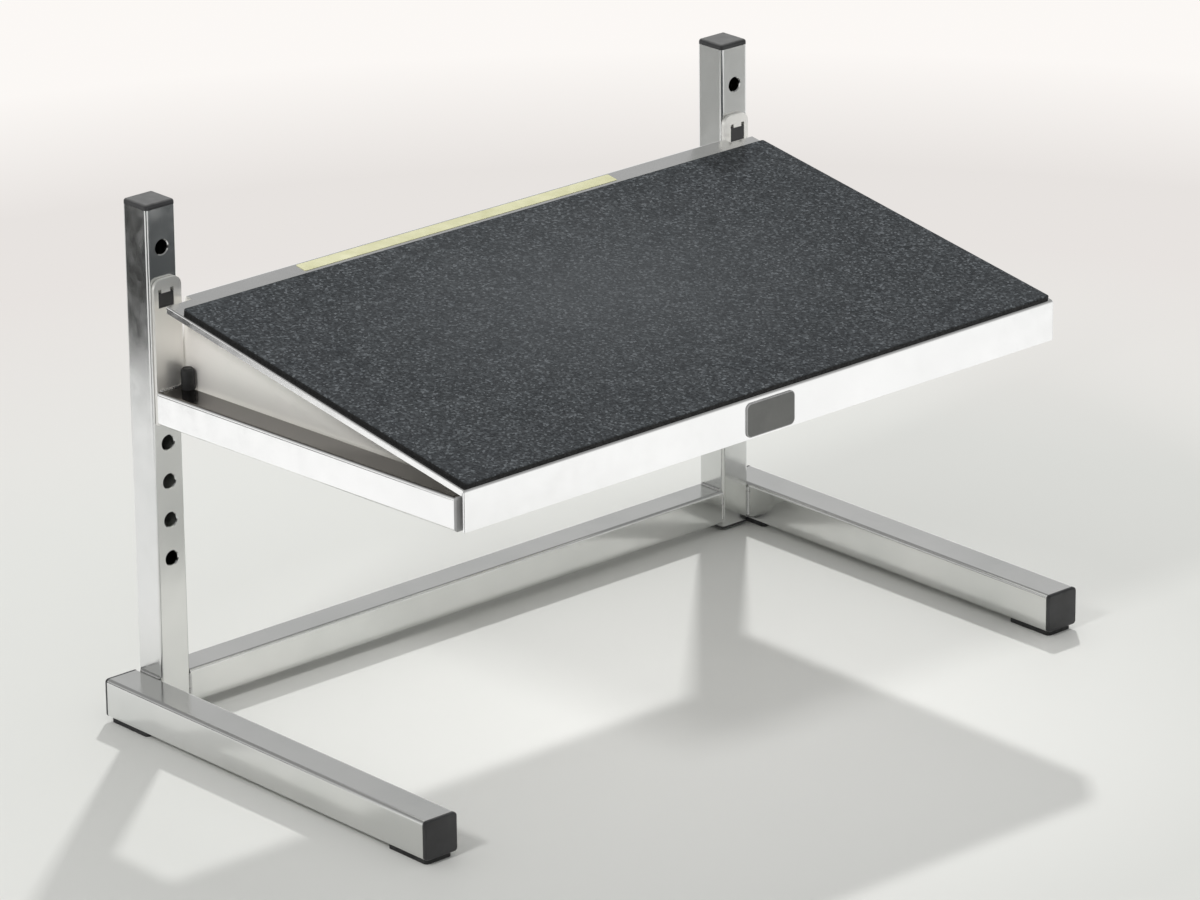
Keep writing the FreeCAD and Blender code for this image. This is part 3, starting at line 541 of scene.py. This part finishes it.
for side, sign in SIDES:
    cheek_low, cheek_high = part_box("cheek_" + side)
    inside = cheek_high.x if sign < 0 else cheek_low.x
    for number, middle in enumerate(CHEEK_SEAMS, start=1):
        weld_bead(f"weld_cheek_{side}_{number}", on_tread(inside, middle - CHEEK_SEAM_HALF, SHEET_UNDER),
                  on_tread(inside, middle + CHEEK_SEAM_HALF, SHEET_UNDER), "tread")

badge_rim("badge_rim")


# Floor, background, light

BACKDROP = (0.97, 0.94, 0.915)
BACKDROP_NEAR = (0.80, 0.768, 0.745)
FLOOR_SPAN = 30.0


def flat_face(name, corners, finish):
    """A new object with one flat four-cornered face in one finish."""
    mesh = bpy.data.meshes.new(name)
    mesh.from_pydata(corners, [], [(0, 1, 2, 3)])
    mesh.materials.append(finish.material)
    piece = bpy.data.objects.new(name, mesh)
    SCENE.collection.objects.link(piece)
    return piece


def studio_floor(name):
    """A wide pale floor with a painted pool of light, brightest round the object, that fades into the pale
    backdrop.

    The distance from a point 0.1 m in front of the origin sets all its tones. The camera, gloss
    and glass see the floor fade out; gloss sees it fade nearer, and into white.
    """
    finish = Finish(name)
    finish.set(Roughness=0.6)
    distance = finish.length_of(finish.stretched(1.0, 1.0, 1.0, (0.0, 0.1, 0.0)))
    # Painted pool of light: the floor's colour is palest near the object and darker from 0.44 m out.
    painted_light_pool = finish.tint(distance, (0.10, 0.915, 0.915, 0.885), (0.44, 0.73, 0.735, 0.705))
    cloud = finish.clouded(finish.noise(1.4, 2.0), (0.97, 0.97, 0.97), WHITE)
    finish.join(finish.mixed(1.0, painted_light_pool, cloud, blend="MULTIPLY"), "Base Color")
    path = finish.nodes.new("ShaderNodeLightPath").outputs
    in_view = finish.spread(distance, 0.0, 1.0, 0.62, 1.1)
    in_gloss = finish.spread(distance, 0.0, 1.0, 0.36, 0.62)
    out_of_reach = finish.mixed(path["Is Glossy Ray"], in_view, in_gloss, kind="FLOAT")
    seen = finish.combined("MAXIMUM", path["Is Camera Ray"], path["Is Glossy Ray"])
    seen_through = finish.combined("MAXIMUM", seen, path["Is Transmission Ray"])
    fade = finish.combined("MULTIPLY", out_of_reach, seen_through)
    outward = finish.spread(distance, 0.0, 1.0, 1.3, 1.65)
    backdrop = finish.mixed(outward, BACKDROP_NEAR, BACKDROP)
    beyond = finish.nodes.new("ShaderNodeEmission")
    finish.links.new(finish.mixed(path["Is Glossy Ray"], backdrop, WHITE), beyond.inputs["Color"])
    floor_shader = finish.layered(fade, finish.shader.outputs["BSDF"], beyond.outputs["Emission"])
    finish.links.new(floor_shader, finish.nodes["Material Output"].inputs["Surface"])
    corners = [(x * FLOOR_SPAN, y * FLOOR_SPAN, 0.0) for x, y in ((-1, -1), (1, -1), (1, 1), (-1, 1))]
    floor = flat_face(name, corners, finish)


def studio_world(light_level, wall, ceiling):
    """Soft light from all round. The camera sees the pale backdrop.

    Gloss and glass see a room: its brightness falls from the wall's to the ceiling's while the
    direction's height above the horizon rises from 0.08 to 0.60.
    """
    world = bpy.data.worlds.new("studio")
    SCENE.world = world
    tree = Tree(world)
    soft = tree.nodes["Background"]
    soft.inputs["Color"].default_value = (*WHITE, 1.0)
    soft.inputs["Strength"].default_value = light_level
    direction = tree.nodes.new("ShaderNodeTexCoord").outputs["Generated"]
    parts = tree.nodes.new("ShaderNodeSeparateXYZ")
    tree.links.new(direction, parts.inputs["Vector"])
    room = tree.background(WHITE, tree.spread(parts.outputs["Z"], wall, ceiling, 0.08, 0.60))
    path = tree.nodes.new("ShaderNodeLightPath").outputs
    mirrored = tree.combined("MAXIMUM", path["Is Glossy Ray"], path["Is Transmission Ray"])
    in_gloss = tree.layered(mirrored, soft.outputs["Background"], room)
    in_view = tree.layered(path["Is Camera Ray"], in_gloss, tree.background(BACKDROP, 1.0))
    tree.links.new(in_view, tree.nodes["World Output"].inputs["Surface"])


def toned_card(name, middle, width, height, tone):
    """An upright card on the floor beside the set, seen only in gloss, that tones the posts' faces.

    It stands at the given middle and faces the object.
    """
    facing = Vector((-middle[0], -middle[1], 0.0)).normalized()
    side = Vector((-facing.y, facing.x, 0.0)) * (width / 2)
    foot = Vector((middle[0], middle[1], 0.0))
    top = Vector((0.0, 0.0, height))
    finish = Finish(name)
    finish.set(Roughness=0.9)
    finish.join(finish.clouded(finish.noise(3.0, 2.0), (0.9 * tone,) * 3, (1.1 * tone,) * 3), "Base Color")
    card = flat_face(name, [foot - side, foot + side, foot + side + top, foot - side + top], finish)
    card.visible_camera = False
    card.visible_diffuse = False
    card.visible_shadow = False


LAMPS_AIM = Vector((0.0, 0.0, 0.15))


def softbox(name, towards, distance, width, power):
    """A square lamp that looks at the object from a given direction and isn't seen in gloss."""
    lamp = bpy.data.lights.new(name, "AREA")
    lamp.shape = "SQUARE"
    lamp.size = width
    lamp.energy = power
    holder = bpy.data.objects.new(name, lamp)
    direction = Vector(towards).normalized()
    holder.location = direction * distance + LAMPS_AIM
    holder.rotation_euler = direction.to_track_quat("Z", "Y").to_euler()
    SCENE.collection.objects.link(holder)
    holder.visible_glossy = False


studio_floor("studio_floor")
studio_world(0.60, 0.92, 0.30)
toned_card("left_card", (-0.81, 0.74), 0.5, 0.17, 0.04)
toned_card("front_card", (-0.82, -0.31), 0.5, 0.5, 0.04)
toned_card("rear_card", (-0.262, 0.763), 0.36, 0.3, 0.62)
toned_card("right_card", (0.84, -0.47), 0.28, 0.3, 0.62)
softbox("key_lamp", (0.75, 0.74, 1.0), 4.4, 0.17, 98.0)
softbox("side_lamp", (-0.72, -0.12, 0.62), 3.2, 0.45, 26.0)


# Camera

def photograph_camera(name):
    """The photograph's long lens, aimed by azimuth, elevation and roll about one point."""
    azimuth, elevation, roll = (math.radians(angle) for angle in (-41.79, 20.54, -0.57))
    target = Vector((0.0593, 0.0657, 0.1468))
    distance = 5.091
    back = Vector((math.sin(azimuth) * math.cos(elevation),
                   -math.cos(azimuth) * math.cos(elevation), math.sin(elevation)))
    level = Vector((math.cos(azimuth), math.sin(azimuth), 0.0))
    upright = back.cross(level)
    right = level * math.cos(roll) + upright * math.sin(roll)
    up = upright * math.cos(roll) - level * math.sin(roll)
    lens = bpy.data.cameras.new(name)
    lens.sensor_width = 36.0
    lens.lens = 203.1
    lens.clip_end = 100.0
    camera = bpy.data.objects.new(name, lens)
    pose = Matrix((right, up, back)).transposed().to_4x4()
    pose.translation = target + back * distance
    camera.matrix_world = pose
    SCENE.collection.objects.link(camera)
    SCENE.camera = camera


photograph_camera("photograph_camera")
